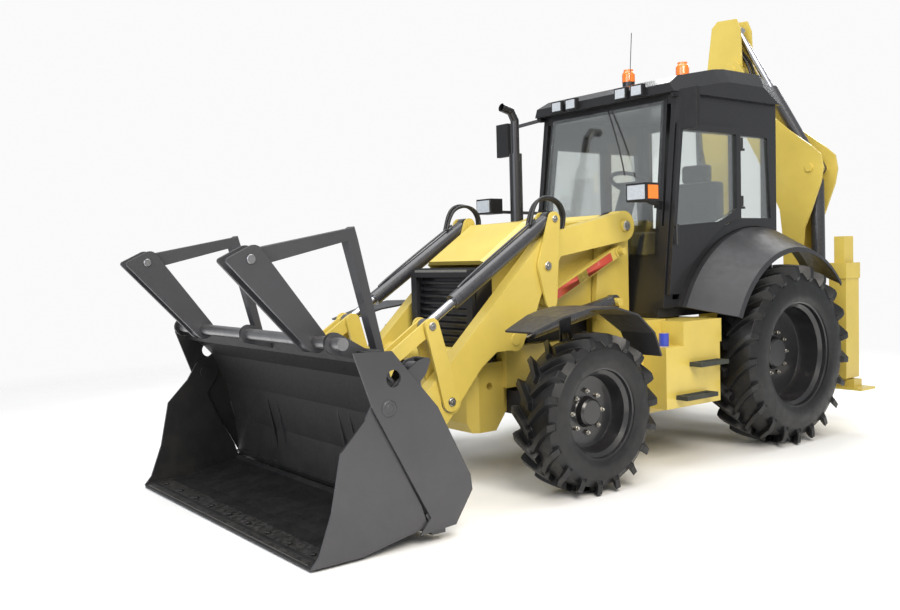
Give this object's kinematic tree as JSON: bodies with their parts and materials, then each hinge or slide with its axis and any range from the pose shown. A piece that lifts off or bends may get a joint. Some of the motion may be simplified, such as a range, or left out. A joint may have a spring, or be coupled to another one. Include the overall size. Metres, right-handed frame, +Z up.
{
  "type": "backhoe loader",
  "caption": "Backhoe loader with a jointed front loader, clam bucket with flip-over forks, glazed cab, steered front wheels and a sideshift digging arm with stabilizers.",
  "frame": {"origin": "on the ground, in the middle of the overall length and width", "axes": "+X forward, +Y to the machine's left, +Z up"},
  "size_m": [5.868, 2.362, 3.6739],
  "materials": {
    "yellow_paint": "satin",
    "black_paint": "satin",
    "dark_grey_paint": "satin",
    "fender_plastic": "matt",
    "tyre_rubber": "matt",
    "steel": "satin",
    "chrome_rod": "bright",
    "cab_glass": "clear",
    "seat_fabric": "matt",
    "cast_iron": "cast"
  },
  "bodies": {
    "machine": {"chassis": "yellow_paint", "loader_tower": "yellow_paint", "engine": "cast_iron", "side_boxes": "yellow_paint", "front_axle": "cast_iron", "rear_axle": "cast_iron", "cab_frame": "black_paint", "cab_glass": "cab_glass", "cab_roof": "black_paint", "cab_interior": "black_paint", "operator_seat": "seat_fabric", "rear_fenders": "fender_plastic", "exhaust": "black_paint", "lamps_mirrors": "black_paint", "rear_frame": "yellow_paint", "leg_columns": "yellow_paint"},
    "bonnet": {"bonnet": "yellow_paint", "grille": "black_paint"},
    "door_left": {"door_left": "black_paint", "door_left_glass": "cab_glass"},
    "knuckle_left": {"knuckle_left": "cast_iron"},
    "knuckle_right": {"knuckle_right": "cast_iron"},
    "wheel_front_left": {"wheel_front_left": "tyre_rubber"},
    "wheel_front_right": {"wheel_front_right": "tyre_rubber"},
    "wheel_rear_left": {"wheel_rear_left": "tyre_rubber"},
    "wheel_rear_right": {"wheel_rear_right": "tyre_rubber"},
    "loader_arms": {"loader_arms": "yellow_paint"},
    "lever_pins": {"lever_pins": "steel"},
    "bucket_pins": {"bucket_pins": "steel"},
    "link_pins": {"link_pins": "steel"},
    "lift_barrels": {"lift_barrels": "dark_grey_paint"},
    "lift_rods": {"lift_rods": "chrome_rod"},
    "bellcranks": {"bellcranks": "yellow_paint"},
    "leveling_links": {"leveling_links": "yellow_paint"},
    "tilt_barrels": {"tilt_barrels": "dark_grey_paint"},
    "tilt_rods": {"tilt_rods": "chrome_rod"},
    "tilt_levers": {"tilt_levers": "yellow_paint"},
    "bucket_links": {"bucket_links": "yellow_paint"},
    "bucket": {"bucket": "dark_grey_paint"},
    "clam": {"clam": "dark_grey_paint"},
    "clam_barrels": {"clam_barrels": "dark_grey_paint"},
    "clam_rods": {"clam_rods": "chrome_rod"},
    "fork_hangers": {"fork_hangers": "dark_grey_paint"},
    "fork_tines": {"fork_tines": "dark_grey_paint"},
    "carriage": {"carriage": "yellow_paint"},
    "kingpost": {"kingpost": "yellow_paint"},
    "boom": {"boom": "yellow_paint"},
    "boom_barrel": {"boom_barrel": "dark_grey_paint"},
    "boom_rod": {"boom_rod": "chrome_rod"},
    "dipper": {"dipper": "yellow_paint"},
    "dipper_barrel": {"dipper_barrel": "dark_grey_paint"},
    "dipper_rod": {"dipper_rod": "chrome_rod"},
    "hoe_barrel": {"hoe_barrel": "dark_grey_paint"},
    "hoe_rod": {"hoe_rod": "chrome_rod"},
    "hoe_lever": {"hoe_lever": "dark_grey_paint"},
    "hoe_link": {"hoe_link": "dark_grey_paint"},
    "hoe_bucket": {"hoe_bucket": "dark_grey_paint"},
    "stabilizer_left": {"stabilizer_left": "yellow_paint"},
    "stabilizer_right": {"stabilizer_right": "yellow_paint"}
  },
  "joints": [
    {"name": "bonnet_hinge", "type": "hinge", "parent": "machine", "child": "bonnet", "pos_m": [-0.4, 0, 1.7], "axis": [0, -1, 0], "range_deg": [0, 50]},
    {"name": "door_left_hinge", "type": "hinge", "parent": "machine", "child": "door_left", "pos_m": [-1.45, 0.722, 1.8], "axis": [0, 0, 1], "range_deg": [0, 80]},
    {"name": "steer_left", "type": "hinge", "parent": "machine", "child": "knuckle_left", "pos_m": [0.55, 0.7, 0.51], "axis": [0, 0, 1], "range_deg": [-32, 32]},
    {"name": "wheel_front_left_spin", "type": "hinge", "parent": "knuckle_left", "child": "wheel_front_left", "pos_m": [0.55, 0.962, 0.51], "axis": [0, 1, 0], "continuous": true},
    {"name": "wheel_rear_left_spin", "type": "hinge", "parent": "machine", "child": "wheel_rear_left", "pos_m": [-1.65, 0.905, 0.695], "axis": [0, 1, 0], "continuous": true},
    {"name": "steer_right", "type": "hinge", "parent": "machine", "child": "knuckle_right", "pos_m": [0.55, -0.7, 0.51], "axis": [0, 0, 1], "range_deg": [-32, 32]},
    {"name": "wheel_front_right_spin", "type": "hinge", "parent": "knuckle_right", "child": "wheel_front_right", "pos_m": [0.55, -0.962, 0.51], "axis": [0, 1, 0], "continuous": true},
    {"name": "wheel_rear_right_spin", "type": "hinge", "parent": "machine", "child": "wheel_rear_right", "pos_m": [-1.65, -0.905, 0.695], "axis": [0, 1, 0], "continuous": true},
    {"name": "loader_raise", "type": "hinge", "parent": "machine", "child": "loader_arms", "pos_m": [-0.338, 0, 1.707], "axis": [0, -1, 0], "range_deg": [-3, 76]},
    {"name": "lift_barrel_turn", "type": "hinge", "parent": "machine", "child": "lift_barrels", "pos_m": [-0.259, 0, 1.158], "axis": [0, -1, 0], "range_deg": [-3.2, 68.98]},
    {"name": "lift_rod_slide", "type": "slide", "parent": "lift_barrels", "child": "lift_rods", "axis": [0.9807, 0, -0.1957], "range_m": [-0.03, 0.6706]},
    {"name": "bellcrank_turn", "type": "hinge", "parent": "loader_arms", "child": "bellcranks", "pos_m": [0.452, 0, 1.437], "axis": [0, -1, 0], "range_deg": [-57.5, 2.75]},
    {"name": "leveling_link_turn", "type": "hinge", "parent": "machine", "child": "leveling_links", "pos_m": [-0.311, 0, 1.525], "axis": [0, -1, 0], "range_deg": [-3.58, 78.4]},
    {"name": "tilt_barrel_turn", "type": "hinge", "parent": "bellcranks", "child": "tilt_barrels", "pos_m": [0.378, 0, 1.754], "axis": [0, -1, 0], "range_deg": [-2.58, 53.17]},
    {"name": "lever_pin_turn", "type": "hinge", "parent": "loader_arms", "child": "lever_pins", "pos_m": [1.295, 0, 0.612], "axis": [0, -1, 0], "range_deg": [-34.7, 1.85]},
    {"name": "bucket_pin_turn", "type": "hinge", "parent": "loader_arms", "child": "bucket_pins", "pos_m": [1.75, 0, 0.33], "axis": [0, -1, 0], "range_deg": [-53.62, 2.6]},
    {"name": "bucket_tilt", "type": "hinge", "parent": "bucket_pins", "child": "bucket", "pos_m": [1.75, 0, 0.33], "axis": [0, 1, 0], "range_deg": [-35, 55]},
    {"name": "tilt_rod_slide", "type": "slide", "parent": "tilt_barrels", "child": "tilt_rods", "axis": [0.8467, 0, -0.532], "range_m": [-0.2, 0.31]},
    {"name": "tilt_lever_turn", "type": "hinge", "parent": "lever_pins", "child": "tilt_levers", "pos_m": [1.295, 0, 0.612], "axis": [0, 1, 0], "range_deg": [-23.5, 36.5]},
    {"name": "link_pin_turn", "type": "hinge", "parent": "bucket", "child": "link_pins", "pos_m": [1.89, 0, 0.61], "axis": [0, 1, 0], "range_deg": [-47.01, 2.34]},
    {"name": "bucket_link_turn", "type": "hinge", "parent": "link_pins", "child": "bucket_links", "pos_m": [1.89, 0, 0.61], "axis": [0, 1, 0], "range_deg": [-48.62, 31.12]},
    {"name": "clam_open", "type": "hinge", "parent": "bucket", "child": "clam", "pos_m": [2.195, 0, 0.753], "axis": [0, -1, 0], "range_deg": [0, 75]},
    {"name": "clam_barrel_turn", "type": "hinge", "parent": "bucket", "child": "clam_barrels", "pos_m": [1.78, 0, 0.16], "axis": [0, -1, 0], "range_deg": [-9.2, 0]},
    {"name": "clam_rod_slide", "type": "slide", "parent": "clam_barrels", "child": "clam_rods", "axis": [0.2511, 0, 0.968], "range_m": [-0.333, 0]},
    {"name": "fork_hanger_turn", "type": "hinge", "parent": "bucket", "child": "fork_hangers", "pos_m": [2.45, 0, 1.1], "axis": [0, 1, 0], "range_deg": [0, 124]},
    {"name": "fork_tine_turn", "type": "hinge", "parent": "fork_hangers", "child": "fork_tines", "pos_m": [2.8, 0, 1.53], "axis": [0, 1, 0], "range_deg": [0, 132]},
    {"name": "hoe_sideshift", "type": "slide", "parent": "machine", "child": "carriage", "axis": [0, 1, 0], "range_m": [-1.2, 0]},
    {"name": "hoe_swing", "type": "hinge", "parent": "carriage", "child": "kingpost", "pos_m": [-2.8, 0.6, 0.825], "axis": [0, 0, -1], "range_deg": [0, 180]},
    {"name": "boom_lower", "type": "hinge", "parent": "kingpost", "child": "boom", "pos_m": [-2.8, 0.38, 0.7], "axis": [1, 0, 0], "range_deg": [0, 110]},
    {"name": "boom_barrel_turn", "type": "hinge", "parent": "kingpost", "child": "boom_barrel", "pos_m": [-2.8, 0.57, 1.1], "axis": [1, 0, 0], "range_deg": [0, 114.13]},
    {"name": "boom_rod_slide", "type": "slide", "parent": "boom_barrel", "child": "boom_rod", "axis": [0, -0.009, 1], "range_m": [0, 0.7299]},
    {"name": "dipper_unfold", "type": "hinge", "parent": "boom", "child": "dipper", "pos_m": [-2.8, -0.22, 3.18], "axis": [-1, 0, 0], "range_deg": [0, 110]},
    {"name": "dipper_barrel_turn", "type": "hinge", "parent": "boom", "child": "dipper_barrel", "pos_m": [-2.8, 0.56, 2.21], "axis": [-1, 0, 0], "range_deg": [0, 7.1]},
    {"name": "dipper_rod_slide", "type": "slide", "parent": "dipper_barrel", "child": "dipper_rod", "axis": [0, -0.5051, 0.8631], "range_m": [-0.6263, 0]},
    {"name": "hoe_bucket_curl", "type": "hinge", "parent": "dipper", "child": "hoe_bucket", "pos_m": [-2.8, -0.4, 1.5], "axis": [-1, 0, 0], "range_deg": [0, 115]},
    {"name": "hoe_lever_turn", "type": "hinge", "parent": "dipper", "child": "hoe_lever", "pos_m": [-2.8, -0.385, 1.8], "axis": [-1, 0, 0], "range_deg": [0, 78.72]},
    {"name": "hoe_link_turn", "type": "hinge", "parent": "hoe_lever", "child": "hoe_link", "pos_m": [-2.8, -0.657, 1.673], "axis": [-1, 0, 0], "range_deg": [-61.93, 0]},
    {"name": "hoe_barrel_turn", "type": "hinge", "parent": "dipper", "child": "hoe_barrel", "pos_m": [-2.8, -0.69, 3.05], "axis": [-1, 0, 0], "range_deg": [-4.53, 0]},
    {"name": "hoe_rod_slide", "type": "slide", "parent": "hoe_barrel", "child": "hoe_rod", "axis": [0, 0.024, -0.9997], "range_m": [-0.37, 0]},
    {"name": "stabilizer_left_lower", "type": "slide", "parent": "machine", "child": "stabilizer_left", "axis": [0, 0, -1], "range_m": [0, 0.45]},
    {"name": "stabilizer_right_lower", "type": "slide", "parent": "machine", "child": "stabilizer_right", "axis": [0, 0, -1], "range_m": [0, 0.45]}
  ],
  "couplings": [
    {"joint": "steer_right", "follows": "steer_left", "ratio": 1},
    {"joint": "lift_barrel_turn", "follows": "loader_raise", "ratio": 0.901},
    {"joint": "lift_rod_slide", "follows": "loader_raise", "m_per_rad": 0.498},
    {"joint": "bellcrank_turn", "follows": "loader_raise", "ratio": -0.75},
    {"joint": "leveling_link_turn", "follows": "loader_raise", "ratio": 1.025},
    {"joint": "tilt_barrel_turn", "follows": "loader_raise", "ratio": 0.693},
    {"joint": "lever_pin_turn", "follows": "loader_raise", "ratio": -0.45},
    {"joint": "bucket_pin_turn", "follows": "loader_raise", "ratio": -0.699},
    {"joint": "tilt_rod_slide", "follows": "bucket_tilt", "m_per_rad": 0.305},
    {"joint": "tilt_lever_turn", "follows": "bucket_tilt", "ratio": 0.645},
    {"joint": "link_pin_turn", "follows": "loader_raise", "ratio": -0.612},
    {"joint": "bucket_link_turn", "follows": "bucket_tilt", "ratio": -0.875},
    {"joint": "clam_barrel_turn", "follows": "clam_open", "ratio": -0.116},
    {"joint": "clam_rod_slide", "follows": "clam_open", "m_per_rad": -0.2506},
    {"joint": "boom_barrel_turn", "follows": "boom_lower", "ratio": 1.033},
    {"joint": "boom_rod_slide", "follows": "boom_lower", "m_per_rad": 0.375},
    {"joint": "dipper_barrel_turn", "follows": "dipper_unfold", "ratio": 0.06},
    {"joint": "dipper_rod_slide", "follows": "dipper_unfold", "m_per_rad": -0.321},
    {"joint": "hoe_lever_turn", "follows": "hoe_bucket_curl", "ratio": 0.6802},
    {"joint": "hoe_link_turn", "follows": "hoe_bucket_curl", "ratio": -0.5341},
    {"joint": "hoe_barrel_turn", "follows": "hoe_bucket_curl", "ratio": -0.035},
    {"joint": "hoe_rod_slide", "follows": "hoe_bucket_curl", "m_per_rad": -0.1794}
  ]
}
